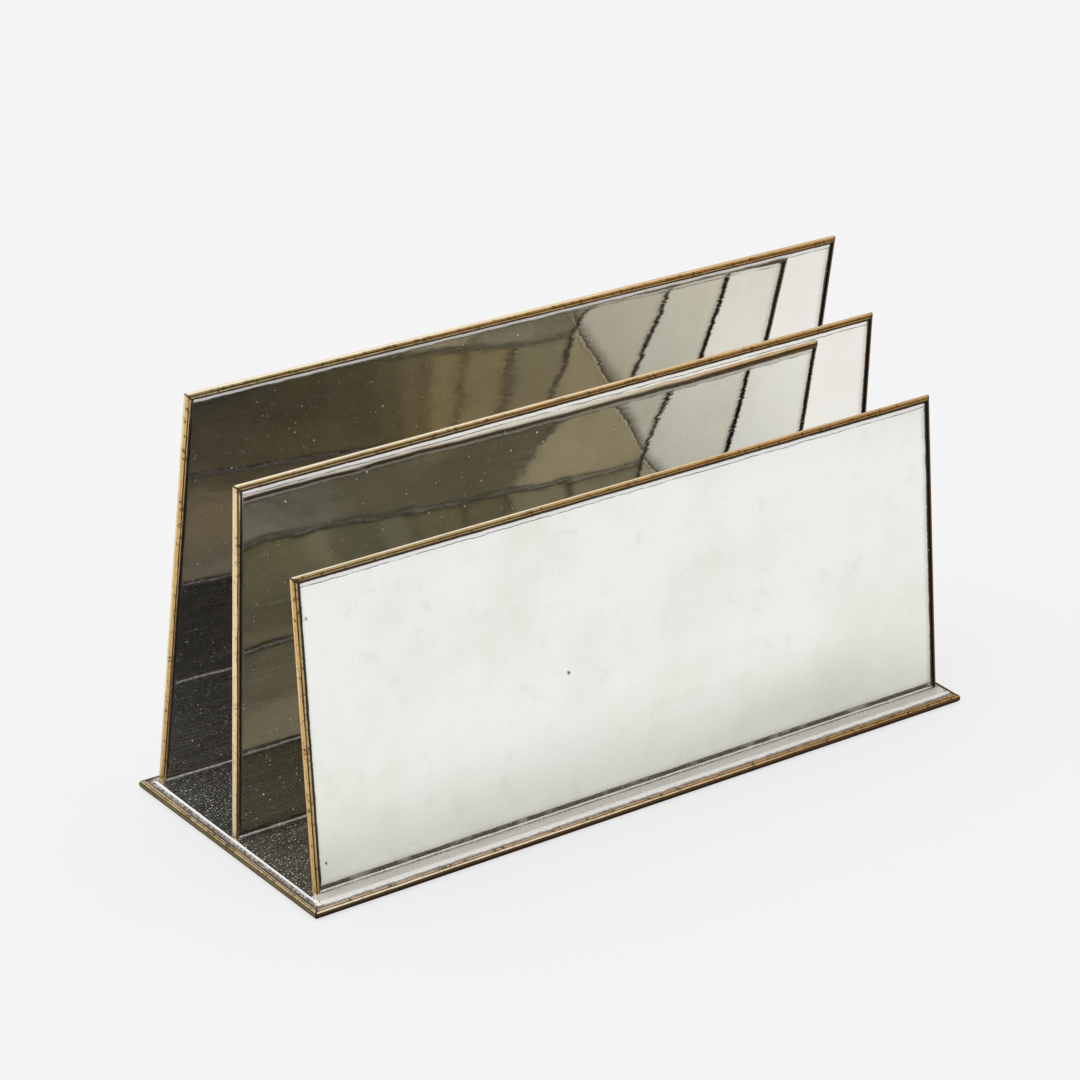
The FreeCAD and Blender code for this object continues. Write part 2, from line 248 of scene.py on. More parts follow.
def scratch_group():
    """Fine brushed lines along X, and scuffs, most of them along X and a few across."""
    group, given, result = new_group(
        "fine_scratches",
        [("Place", VECTOR, None)],
        [("Brushed", FLOAT), ("Scuffs", FLOAT)])
    along = fade(group, noise(group, given["Place"], LONG_SCUFFS), *LONG_SHOW)
    across = fade(group, noise(group, given["Place"], CROSS_SCUFFS), *CROSS_SHOW)
    scuffed = fade(group, noise(group, given["Place"], SCUFFED_PLACES), *SCUFFED_SHOW)
    group.links.new(noise(group, given["Place"], BRUSHED), result["Brushed"])
    group.links.new(product(group, strongest(group, along, across), scuffed), result["Scuffs"])
    return group


DUST = dust_group()
SCRATCHES = scratch_group()


# ------------------------------------------------------------------ panels of pewter

# Uneven patterns on a panel, in places of mm.
FRAY = Pattern(0.9, 3.0, 0.65)
DRIFT = Pattern(0.12, 3.0, 0.6)
CLOUD = Pattern(0.020, 3.0, 0.6)
PATCH = Pattern(0.11, 5.0, 0.68)
GRAINS = Pattern(1.6, 3.0, 0.7)
SLOW_WAVE = Pattern(0.012, 1.0, 0.4)
QUICK_WAVE = Pattern(0.045, 1.0, 0.4)
TEETH = Pattern(1.0, 2.0, 0.6, stretch=(0.03, 1.0, 1.3))
ROLLING = Pattern(1.0, 2.0, 0.5, stretch=(0.03, 1.0, 0.0))
# How far the rear face's marks and dust are shifted from the front's, and how far edges wander and fray.
REAR_SHIFT = 45.0
REAR_DUST_SHIFT = 300.0
DRIFT_REACH = 1.4
FRAY_REACH = 0.9
CORNER_ROUNDING = 3.0
# How ragged an edge of oxide is: the share of the wobble that it follows.
LEFT_RAGGED = 0.4
TOP_RAGGED = 0.3
END_RAGGED = 0.7
FOOT_RAGGED = 0.5

# Tints multiply the metal's colour; the others lie over it.
WORN_TINT = (0.90, 0.895, 0.835, 1)
LEFT_TINT = (0.86, 0.86, 0.92, 1)
LOWER_TINT = (0.98, 0.97, 0.915, 1)
DIRT = (0.62, 0.60, 0.50, 1)
MOTTLE = (0.66, 0.64, 0.54, 1)
SOLDER_SMEAR = (0.50, 0.455, 0.39, 1)
END_SMEAR = (0.42, 0.40, 0.36, 1)
# The band under the top wire is a painted highlight.
PAINTED_HIGHLIGHT_BAND = (0.95, 0.94, 0.91, 1)
OXIDE = (0.035, 0.028, 0.02, 1)
GRIME = (0.33, 0.32, 0.27, 1)
SCUFF = (0.60, 0.57, 0.48, 1)
DUST_COLOUR = (0.93, 0.90, 0.80, 1)
NICK = (0.06, 0.055, 0.05, 1)
CLOUD_SHOW = (0.42, 0.68)
DIRT_SHOW = (0.52, 0.75)
MOTTLE_FRAY_SHOW = (0.50, 0.75)
MOTTLE_DRIFT_SHOW = (0.40, 0.60)
HAIRLINE_SHOW = (0.36, 0.54, 0.25, 0.7)
FOOT_OXIDE_SHOW = (0.35, 0.5, 0.55, 1.0)
GRIME_SHOW = (0.40, 0.60, 0.2, 1.0)
WIPED_SHOW = (0.42, 0.72, 0.25, 1.0)
DIRT_STRENGTH = 0.30
MOTTLE_STRENGTH = 0.16
SMEAR_STRENGTH = 0.35
OXIDE_STRENGTH = 0.97
FAINT_OXIDE = 0.88
GRIME_STRENGTH = 0.55
SCUFF_STRENGTH = 0.30

# Where marks start and are full, in mm from the edge of the sheet that they lie along, and, where there are
# four numbers, their least and most strength.
SMEAR_SPAN = (2.4, 0.7)
END_SMEAR_SPAN = (3.2, 1.2)
LEFT_OXIDE_SPAN = (1.30, 1.0)
TOP_OXIDE_SPAN = (0.82, 0.62)
REAR_OXIDE_SPAN = (0.9, 0.5)
END_OXIDE_SPAN = (1.15, 0.65)
FOOT_OXIDE_SPAN = (1.85, 1.35)
GRIME_SPAN = (3.8, 0.9)
LOWER_SPAN = (45.0, 2.0)
DUSTY_SPAN = (70.0, 3.0, 0.25, 1.0)
BAND_AT, BAND_WIDTH, BAND_SOFT = 1.05, 1.3, 0.3
BAND_END_SPAN = (0.6, 1.6)
HAIRLINE_AT, HAIRLINE_WIDTH, HAIRLINE_FRAY = 2.05, 0.42, 0.3
TOP_DRIFT = 1.2
# The same along x, from the middle of the sheet.
LEFT_TARNISH_SPAN = (-30.0, -100.0)
DUST_CELL = 1.2
# Share of the film that doesn't thin out up the sheet.
FILM_EVERYWHERE = 0.1

# Roughness of the polished sheet, and what each mark adds to it. The band, a painted highlight, is also
# less like metal.
PANEL_ROUGHNESS = 0.012
STAIN_ROUGHNESS = 0.02
SCUFF_ROUGHNESS = 0.12
OXIDE_ROUGHNESS = 0.4
SMEAR_ROUGHNESS = 0.14
BAND_ROUGHNESS = 0.2
BAND_DULLNESS = 0.75

# Relief in mm: the wave of the sheet, its edges rounded off by polishing, and scratches.
SLOW_RISE = 0.08
QUICK_RISE = 0.05
DRIFT_RISE = 0.006
ROUNDED_OFF = -0.02
ROUNDED_OVER = 1.1
SCUFF_DEPTH = -0.003
BRUSHED_RISE = 0.0011
# Slight lean of the face, as a part of its normal: how much, and where it sets in, in mm.
TEETH_SWAY = 0.010
ROLLING_SWAY = 0.03
# The rolling from the top edge, the others along x.
ROLLING_SPAN = (10.0, 2.0)
TWIST_SPAN = (70.0, 105.0)
BOW_LEFT_SPAN = (40.0, -110.0)
BOW_RIGHT_SPAN = (40.0, 110.0)


def sheet_wave(group, marks, drift, rim, scratches):
    """Height of a sheet that isn't quite flat, rounded off a little along its edges."""
    wave = product(group, noise(group, marks, QUICK_WAVE), QUICK_RISE)
    wave = times_plus(group, noise(group, marks, SLOW_WAVE), SLOW_RISE, wave)
    wave = times_plus(group, drift, DRIFT_RISE, wave)
    from_edge = maths(group, "EXPONENT", maths(group, "DIVIDE", rim, -ROUNDED_OVER))
    height = plus(group, wave, product(group, from_edge, ROUNDED_OFF))
    height = times_plus(group, scratches["Scuffs"], SCUFF_DEPTH, height)
    return times_plus(group, scratches["Brushed"], BRUSHED_RISE, height)


def sheet_sway(group, given, marks, x, top):
    """Slight lean of the face: teeth in what it mirrors, a twist at the right and a bow at either end."""
    sideways = product(group, minus(group, noise(group, marks, TEETH), 0.5), TEETH_SWAY)
    sideways = times_plus(group, fade(group, x, *TWIST_SPAN), given["Twist right"], sideways)
    bow = product(group, fade(group, x, *BOW_LEFT_SPAN), given["Bow left"])
    bow = times_plus(group, fade(group, x, *BOW_RIGHT_SPAN), given["Bow right"], bow)
    rolling = minus(group, noise(group, marks, ROLLING), 0.5)
    rolling = product(group, rolling, fade(group, top, *ROLLING_SPAN))
    return join(group, sideways, 0.0, times_plus(group, rolling, ROLLING_SWAY, bow))


def bare_pewter(group, given, marks, x, z, drift, fray, patch):
    """Colour of the bare metal with cloudy warm and grey stains, and where it is stained."""
    stained = product(group, fade(group, noise(group, marks, CLOUD), *CLOUD_SHOW), given["Stains"])
    worn = blend(group, 1.0, given["Clean"], WORN_TINT, "MULTIPLY")
    colour = blend(group, stained, given["Clean"], worn)
    tarnished = product(group, fade(group, x, *LEFT_TARNISH_SPAN), given["Left tarnish"])
    colour = blend(group, tarnished, colour, LEFT_TINT, "MULTIPLY")
    dirty = product(group, fade(group, patch, *DIRT_SHOW), given["Stains"], DIRT_STRENGTH)
    colour = blend(group, dirty, colour, DIRT)
    mottled = product(group, fade(group, fray, *MOTTLE_FRAY_SHOW), fade(group, drift, *MOTTLE_DRIFT_SHOW),
                      given["Stains"], MOTTLE_STRENGTH)
    colour = blend(group, mottled, colour, MOTTLE)
    lower = product(group, fade(group, z, *LOWER_SPAN), given["Stains"])
    return blend(group, lower, colour, LOWER_TINT, "MULTIPLY"), stained


def panel_group():
    """Finish of a pewter panel from places in mm: x along, z up the sheet from its foot."""
    group, given, result = new_group(
        "panel_finish",
        [("Place", VECTOR, None), ("Half length", FLOAT, 119.0), ("Height", FLOAT, 96.0),
         ("Clean", COLOUR, None), ("Stains", FLOAT, 1.0), ("Dust", FLOAT, 0.1), ("Film", FLOAT, 0.1),
         ("Rear oxide", FLOAT, 1.0), ("Band", FLOAT, 1.0), ("Bow left", FLOAT, 0.0),
         ("Bow right", FLOAT, 0.0), ("Twist right", FLOAT, 0.0), ("Left tarnish", FLOAT, 0.0)],
        FINISH_OUTPUTS + [("Sway", VECTOR)])
    x, y, z = split(group, given["Place"])
    # The two faces of a sheet must not show the same marks.
    rear = maths(group, "GREATER_THAN", y, 0.0)
    marks = join(group, x, product(group, rear, REAR_SHIFT), z)
    flat_marks = join(group, x, times_plus(group, rear, REAR_DUST_SHIFT, z))

    fray = noise(group, marks, FRAY)
    drift = noise(group, marks, DRIFT)
    patch = noise(group, marks, PATCH)
    wobble = wander(group, drift, DRIFT_REACH, fray, FRAY_REACH)
    left = plus(group, given["Half length"], x)
    right = minus(group, given["Half length"], x)
    side = maths(group, "MINIMUM", left, right)
    top = minus(group, given["Height"], z)
    rim = maths(group, "SMOOTH_MIN", side, top, CORNER_ROUNDING)
    colour, stained = bare_pewter(group, given, marks, x, z, drift, fray, patch)

    # Grey smear of solder along the wires, and a band of painted highlight with a hairline under the top
    # one.
    smear = fade(group, plus(group, side, wobble), *SMEAR_SPAN)
    colour = blend(group, product(group, smear, SMEAR_STRENGTH), colour, SOLDER_SMEAR)
    end_smear = fade(group, plus(group, right, wobble), *END_SMEAR_SPAN)
    colour = blend(group, product(group, end_smear, SMEAR_STRENGTH), colour, END_SMEAR)
    top_wavy = times_plus(group, drift, TOP_DRIFT, minus(group, top, TOP_DRIFT / 2))
    band = product(group, line(group, top_wavy, BAND_AT, BAND_WIDTH, BAND_SOFT),
                   fade(group, side, *BAND_END_SPAN), given["Band"])
    colour = blend(group, band, colour, PAINTED_HIGHLIGHT_BAND)
    hairline = line(group, times_plus(group, fray, HAIRLINE_FRAY, top_wavy), HAIRLINE_AT, HAIRLINE_WIDTH)
    hairline = product(group, hairline, fade(group, patch, *HAIRLINE_SHOW))

    # Dark oxide next to the wires and at the foot.
    oxide_left = fade(group, times_plus(group, wobble, LEFT_RAGGED, left), *LEFT_OXIDE_SPAN)
    oxide_top = fade(group, times_plus(group, wobble, TOP_RAGGED, top), *TOP_OXIDE_SPAN)
    rim_rear = maths(group, "DIVIDE", plus(group, rim, wobble), given["Rear oxide"])
    oxide_rear = product(group, fade(group, rim_rear, *REAR_OXIDE_SPAN), rear, FAINT_OXIDE)
    oxide_end = fade(group, times_plus(group, wobble, END_RAGGED, right), *END_OXIDE_SPAN, 0.0, FAINT_OXIDE)
    foot = times_plus(group, wobble, FOOT_RAGGED, z)
    oxide_foot = product(group, fade(group, foot, *FOOT_OXIDE_SPAN),
                         fade(group, drift, *FOOT_OXIDE_SHOW))
    oxide = strongest(group, oxide_left, oxide_top, oxide_rear, oxide_end, oxide_foot, hairline)
    colour = blend(group, product(group, oxide, OXIDE_STRENGTH), colour, OXIDE)
    grainy = fade(group, noise(group, marks, GRAINS), *GRIME_SHOW)
    grime = product(group, fade(group, foot, *GRIME_SPAN), grainy, GRIME_STRENGTH)
    colour = blend(group, grime, colour, GRIME)

    # Scuffs, dust that is thicker towards the floor, and a thin film of it wiped along the sheet.
    scratches = use_group(group, SCRATCHES, {"Place": marks})
    scored = product(group, scratches["Scuffs"], given["Stains"], SCUFF_STRENGTH)
    colour = blend(group, scored, colour, SCUFF)
    low = fade(group, z, *DUSTY_SPAN)
    specks = use_group(group, DUST, {
        "Place": flat_marks, "Density": product(group, low, given["Dust"]), "Cell": DUST_CELL})["Mask"]
    wiped = fade(group, scratches["Brushed"], *WIPED_SHOW)
    thinning = times_plus(group, low, 1 - FILM_EVERYWHERE, FILM_EVERYWHERE)
    film = product(group, thinning, wiped, given["Film"])
    dust = strongest(group, specks, film)
    colour = blend(group, dust, colour, DUST_COLOUR)

    rough = times_plus(group, stained, STAIN_ROUGHNESS, PANEL_ROUGHNESS)
    rough = times_plus(group, scratches["Scuffs"], SCUFF_ROUGHNESS, rough)
    rough = times_plus(group, oxide, OXIDE_ROUGHNESS, rough)
    rough = times_plus(group, smear, SMEAR_ROUGHNESS, rough)
    rough = times_plus(group, band, BAND_ROUGHNESS, rough)
    metal = minus(group, 1.0, strongest(group, dust, product(group, band, BAND_DULLNESS)))
    for name, socket in (("Color", colour), ("Roughness", rough), ("Metallic", metal),
                         ("Height", sheet_wave(group, marks, drift, rim, scratches)),
                         ("Sway", sheet_sway(group, given, marks, x, top))):
        group.links.new(socket, result[name])
    return group


PANEL_FINISH = panel_group()
PANEL_LOOKS = {
    "front": {"Clean": (0.885, 0.888, 0.86, 1), "Stains": 0.8, "Dust": 0.012, "Film": 0.01,
              "Rear oxide": 0.5, "Band": 0.85},
    "middle": {"Clean": (0.865, 0.85, 0.80, 1), "Stains": 0.5, "Dust": 0.10, "Film": 0.03,
               "Rear oxide": 1.0, "Band": 0.3, "Bow left": -0.024, "Bow right": 0.004, "Twist right": 0.024,
               "Left tarnish": 1.0},
    "back": {"Clean": (0.865, 0.85, 0.80, 1), "Stains": 0.5, "Dust": 0.08, "Film": 0.13,
             "Rear oxide": 1.0, "Band": 1.0, "Left tarnish": 1.0},
}
# Small dark nicks of a panel's front face: x and z on the panel and reach, in mm.
NICKS = {"front": ((-25.0, 43.4, 0.9), (-117.0, 84.7, 0.7), (-116.0, 8.0, 0.7))}
NICK_RAGGED = Pattern(1.6, 2.0, 0.5)
NICK_SHOW = (0.35, 0.5)
NICK_STRENGTH = 0.85
NICK_DEPTH = -0.05


def new_material(name):
    material = bpy.data.materials.new(name)
    material.use_nodes = True
    tree = material.node_tree
    return material, tree, tree.nodes["Principled BSDF"]


def finish_with(tree, shader, colour, rough, metal, height, sway=None):
    """Feeds a metal's Principled shader; height is in mm, sway a slight lean of the face as a vector."""
    feed(tree, shader.inputs["Base Color"], colour)
    feed(tree, shader.inputs["Roughness"], rough)
    feed(tree, shader.inputs["Metallic"], metal)
    bump = add_node(tree, "ShaderNodeBump", {"Height": height, "Strength": 1.0, "Distance": MM})
    normal = bump.outputs[0]
    if sway is not None:
        normal = vector_maths(tree, "NORMALIZE", vector_maths(tree, "ADD", normal, sway))
    feed(tree, shader.inputs["Normal"], normal)


def place_in_mm(tree, location=(0.0, 0.0, 0.0), turned=(0.0, 0.0, 0.0)):
    """Object coordinates in millimetres from a place, in axes that are turned with the piece."""
    where = tree.nodes.new("ShaderNodeTexCoord").outputs["Object"]
    made = add_node(tree, "ShaderNodeMapping", {
        "Vector": where, "Location": [v * MM for v in location], "Rotation": turned, "Scale": (MM, MM, MM),
    }, vector_type="TEXTURE")
    return made.outputs[0]


def panel_place(tree, panel):
    """Places on a panel in mm: x from its middle, y through the sheet, z up the sheet from its foot."""
    turned = (-math.radians(panel["lean"]), 0.0, math.radians(panel["turn"]))
    return place_in_mm(tree, (panel["slide"], panel["foot"], FLOOR_HEIGHT), turned)


def panel_material(name, panel):
    material, tree, shader = new_material(name + "_pewter")
    place = panel_place(tree, panel)
    out = use_group(tree, PANEL_FINISH, {
        "Place": place, "Half length": SHEET_LENGTH / 2, "Height": panel["height"] - WIRE_RADIUS,
        **PANEL_LOOKS[name],
    })
    colour, height = out["Color"], out["Height"]
    for x, z, reach in NICKS.get(name, ()):
        away = vector_maths(tree, "DISTANCE", place, (x, -SHEET_THICKNESS / 2, z), output="Value")
        nick = fade(tree, away, reach, reach / 2)
        ragged = product(tree, nick, fade(tree, noise(tree, place, NICK_RAGGED), *NICK_SHOW), NICK_STRENGTH)
        colour = blend(tree, ragged, colour, NICK)
        height = times_plus(tree, nick, NICK_DEPTH, height)
    finish_with(tree, shader, colour, out["Roughness"], out["Metallic"], height, out["Sway"])
    return material


# -------------------------------------------------------------- pewter of the base

BASE_DRIFT = Pattern(0.22, 3.0, 0.6)
BASE_FRAY = Pattern(1.1, 3.0, 0.65)
BASE_BLOTCH = Pattern(1.1, 4.0, 0.7)
BASE_GRAINS = Pattern(2.2, 3.0, 0.7)
BASE_WAVE = Pattern(0.03, 1.0, 0.4)
BASE_RIPPLES = Pattern(0.25, 2.0, 0.5)
BASE_WANDER = 0.7
FLOOR_ROUNDING = 1.5
FRONT_FILM_RAGGED = 0.5

FLOOR_PEWTER = (0.86, 0.86, 0.83, 1)
FLOOR_STAIN = (0.60, 0.58, 0.52, 1)
BORDER_PEWTER = (0.95, 0.94, 0.92, 1)
LEFT_BORDER = (0.42, 0.40, 0.36, 1)
BASE_SOOT_AND_SHADE = (0.06, 0.05, 0.035, 1)
BASE_DUST_AND_HIGHLIGHT = (0.95, 0.93, 0.88, 1)
FLOOR_STAIN_SHOW = (0.45, 0.75)
LEFT_GRIME_SHOW = (0.44, 0.54)
INNER_LINE_SHOW = (0.45, 0.60)
FLOOR_DUST_SHOW = (0.35, 0.6, 0.25, 0.6)
FLOOR_WIPED_SHOW = (0.50, 0.78, 0.04, 0.36)
FRONT_FILM_SHOW = (0.30, 0.60, 0.45, 0.75)
FLOOR_STAIN_STRENGTH = 0.35
LEFT_BORDER_STRENGTH = 0.65
BASE_SOOT_AND_SHADE_STRENGTH = 0.9
WIRE_SHADE_STRENGTH = 0.6
THIN_LINE_STRENGTH = 0.7
INNER_LINE_STRENGTH = 0.6
MIRRORED_DUST = 0.3

# Where marks start and are full in mm: from the floor's edge, outwards where negative.
BORDER_SPAN = (0.5, -0.2)
LEFT_BORDER_SPAN = (-0.35, -0.75)
LEFT_GRIME_SPAN = (-0.45, -1.0)
WIRE_SHADE_SPAN = (-0.9, -1.5)
WIRE_JOINT_SPAN = (-1.35, -1.7)
THIN_LINE_AT, THIN_LINE_WIDTH = -1.25, 0.3
INNER_LINE_AT, INNER_LINE_WIDTH = 0.7, 0.7
# A white streak on the front slope, a painted highlight.
WHITE_STREAK_AT, WHITE_STREAK_WIDTH, WHITE_STREAK_SOFT = -0.50, 1.1, 0.4
# The same along x at the left end and along y at the front.
LEFT_END_SPAN = (-119.5, -121.5)
FRONT_FILM_SPAN = (-40.6, -41.6)
FRONT_STREAK_SPAN = (-44.5, -45.0)
# The floor is what lies no more than this below its height.
FLOOR_SLACK = 0.05
BASE_ROUGHNESS = 0.08
DIRT_ROUGHNESS = 0.35
DUST_AND_HIGHLIGHT_DULLNESS = 0.9
BASE_WAVE_RISE = 0.22
BASE_RIPPLE_RISE = 0.03
BASE_SCUFF_DEPTH = -0.004


def base_soot_and_shade(tree, x, rim, rim_wobbly, place, patch):
    """Dirt in the corner under the wires, thickest along the left end, painted shade and dark joint lines
    beside the wires, and a broken line on the floor.
    """
    grime = product(tree, fade(tree, rim, *LEFT_GRIME_SPAN),
                    fade(tree, noise(tree, place, BASE_BLOTCH), *LEFT_GRIME_SHOW),
                    fade(tree, x, *LEFT_END_SPAN))
    joint = fade(tree, rim_wobbly, *WIRE_JOINT_SPAN)
    shade = product(tree, fade(tree, rim_wobbly, *WIRE_SHADE_SPAN), WIRE_SHADE_STRENGTH)
    thin = product(tree, line(tree, rim_wobbly, THIN_LINE_AT, THIN_LINE_WIDTH), THIN_LINE_STRENGTH)
    inner = product(tree, line(tree, rim_wobbly, INNER_LINE_AT, INNER_LINE_WIDTH),
                    fade(tree, patch, *INNER_LINE_SHOW), INNER_LINE_STRENGTH)
    return strongest(tree, joint, grime, shade, thin, inner)


def base_dust_and_highlight(tree, place, y, z, wobble, rim_wobbly, patch, scratches):
    """Specks and a wiped film on the floor, a film before the front panel and a white streak on the front
    border, which is a painted highlight.
    """
    level = maths(tree, "GREATER_THAN", z, FLOOR_HEIGHT - FLOOR_SLACK)
    specks = use_group(tree, DUST, {
        "Place": place, "Density": product(tree, level, fade(tree, patch, *FLOOR_DUST_SHOW)),
        "Cell": 1.0, "Least": 1.0})["Mask"]
    mirrored = tree.nodes.new("ShaderNodeLightPath").outputs["Is Glossy Ray"]
    specks = product(tree, specks, fade(tree, mirrored, 0.0, 1.0, 1.0, MIRRORED_DUST))
    wiped = fade(tree, scratches["Brushed"], *FLOOR_WIPED_SHOW)
    from_foot = times_plus(tree, wobble, FRONT_FILM_RAGGED, y)
    front_film = product(tree, fade(tree, from_foot, *FRONT_FILM_SPAN),
                         fade(tree, noise(tree, place, BASE_GRAINS), *FRONT_FILM_SHOW))
    film = product(tree, level, plus(tree, wiped, front_film, clamp=True))
    painted_highlight_streak = line(tree, rim_wobbly, WHITE_STREAK_AT, WHITE_STREAK_WIDTH, WHITE_STREAK_SOFT)
    return strongest(tree, specks, film, product(tree, painted_highlight_streak, fade(tree, y, *FRONT_STREAK_SPAN)))


def base_material():
    """Pewter of the base: dusty floor, bright sloping border with a painted highlight at the front, dark
    line and painted shade at the wires.
    """
    material, tree, shader = new_material("base_pewter")
    place = place_in_mm(tree)
    x, y, z = split(tree, place)
    patch = noise(tree, place, PATCH)
    drift, fray = (noise(tree, place, pattern) for pattern in (BASE_DRIFT, BASE_FRAY))
    wobble = wander(tree, drift, BASE_WANDER, fray, BASE_WANDER)
    end = minus(tree, FLOOR_LENGTH / 2, maths(tree, "ABSOLUTE", x))
    side = minus(tree, FLOOR_DEPTH / 2, maths(tree, "ABSOLUTE", y))
    rim = maths(tree, "SMOOTH_MIN", end, side, FLOOR_ROUNDING)
    rim_wobbly = plus(tree, rim, wobble)

    stained = product(tree, fade(tree, patch, *FLOOR_STAIN_SHOW), FLOOR_STAIN_STRENGTH)
    colour = blend(tree, stained, FLOOR_PEWTER, FLOOR_STAIN)
    colour = blend(tree, fade(tree, rim, *BORDER_SPAN), colour, BORDER_PEWTER)
    left_border = product(tree, fade(tree, rim, *LEFT_BORDER_SPAN), fade(tree, x, *LEFT_END_SPAN),
                          LEFT_BORDER_STRENGTH)
    colour = blend(tree, left_border, colour, LEFT_BORDER)
    # Soot, dark joint lines and painted shade beside the wires.
    soot_and_shade = base_soot_and_shade(tree, x, rim, rim_wobbly, place, patch)
    colour = blend(tree, product(tree, soot_and_shade, BASE_SOOT_AND_SHADE_STRENGTH), colour, BASE_SOOT_AND_SHADE)
    # The scratches lie in the plane of the floor.
    flat_place = stretch(tree, place, (1, 1, 1), turn=(math.pi / 2, 0, 0))
    scratches = use_group(tree, SCRATCHES, {"Place": flat_place})
    # Dust, and the painted highlight on the front slope, lie over the colour together.
    dust = base_dust_and_highlight(tree, place, y, z, wobble, rim_wobbly, patch, scratches)
    colour = blend(tree, dust, colour, BASE_DUST_AND_HIGHLIGHT)

    rough = times_plus(tree, scratches["Scuffs"], SCUFF_ROUGHNESS, BASE_ROUGHNESS)
    rough = times_plus(tree, strongest(tree, soot_and_shade, dust), DIRT_ROUGHNESS, rough)
    slow = product(tree, noise(tree, place, BASE_WAVE), BASE_WAVE_RISE)
    height = times_plus(tree, noise(tree, place, BASE_RIPPLES), BASE_RIPPLE_RISE, slow)
    height = times_plus(tree, scratches["Scuffs"], BASE_SCUFF_DEPTH, height)
    metal = minus(tree, 1.0, product(tree, dust, DUST_AND_HIGHLIGHT_DULLNESS))
    finish_with(tree, shader, colour, rough, metal, height)
    return material


# ----------------------------------------------------------------- brass of the wires

# CREAM is a painted highlight where a wire's look uses it, and SHINE and WARM_SHINE colour a painted
# highlight band.
CREAM = (0.95, 0.78, 0.52, 1)
PALE_GOLD = (0.86, 0.74, 0.46, 1)
KHAKI = (0.78, 0.66, 0.38, 1)
GOLD = (0.66, 0.44, 0.17, 1)
OLIVE_GOLD = (0.50, 0.38, 0.17, 1)
ORANGE_GOLD = (0.72, 0.42, 0.14, 1)
COPPER_GOLD = (0.85, 0.58, 0.30, 1)
TAN = (0.66, 0.50, 0.34, 1)
STREAK_TINT = (0.55, 0.36, 0.16, 1)
WARM_GOLD = (0.80, 0.46, 0.17, 1)
SHINE = (1.0, 0.90, 0.70, 1)
WARM_SHINE = (1.0, 0.77, 0.46, 1)
TARNISH = (0.075, 0.04, 0.02, 1)
# A wire as the pewter mirrors it: a painted highlight and painted shade.
MIRRORED_SHINE = (0.96, 0.93, 0.86, 1)
MIRRORED_REAR = (0.17, 0.115, 0.07, 1)

STREAKS = Pattern(1.0, 4.0, 0.65)
SPOTS = Pattern(0.6, 4.0, 0.7)
# How much streaks run across a wire and along it, in features to the mm.
ACROSS_WIRE = 1.1
ALONG_WIRE = 0.07
# How far the streaks shift what lies round the wire, as a share of a quarter turn.
STREAK_SHIFT = 0.16
# Places along x, in mm, between which a wire gets warmer and its shine goes.
WARM_SPAN = (-100.0, 60.0)
FADING_SPAN = (-40.0, 110.0)
SECOND_LINE_WIDTH, SECOND_LINE_SOFT = 0.17, 0.4
# How edges round the wire soften, and the least and most strength of what they bound. The mitre's is in mm.
BRIGHT_EDGE = (-0.06, 0.06)
BEYOND_EDGE = (0.0, 0.04)
SHINE_STARTS = (-0.03, 0.04)
SHINE_ENDS = (0.04, -0.04)
LINE_EDGE = (1.0, 0.6)
JOINT_EDGE = (-0.02, 0.05)
UNRUBBED_EDGE = (0.0, 0.15, 0.0, 0.92)
# Where Black below darkens a base wire's underside, that is painted shade.
BLACK_EDGE = (0.03, -0.1, 0.0, 0.95)
MITRE_EDGE = (0.40, 0.15, 0.0, 0.95)
STREAK_SHOW = (0.45, 0.62, 0.0, 0.25)
LINE_SHOW = (0.30, 0.50, 0.7, 1.0)
SPOT_SHOW = (0.52, 0.64, 0.0, 0.85)
SPOTS_PAST_BRIGHT = (-0.1, 0.2, 0.3, 1.0)
SPOTS_IN_SHINE = (0.0, 1.0, 1.0, 0.3)
BRASS_ROUGHNESS = 0.22
TARNISH_ROUGHNESS = 0.2
SHINE_DULLNESS = 0.97
SPOT_RISE = 0.012
STREAK_RISE = 0.015
# Painted reflection: as the pewter mirrors a wire, its front is painted pale as a highlight, towards the
# left end (mm along x), and its rear is painted dark as shade.
MIRRORED_SHINE_SPAN = (0.45, 0.30)
MIRRORED_SHINE_ALONG = (90.0, 20.0)
MIRRORED_REAR_WIDTH = 0.15
MIRRORED_REAR_STRENGTH = 0.93


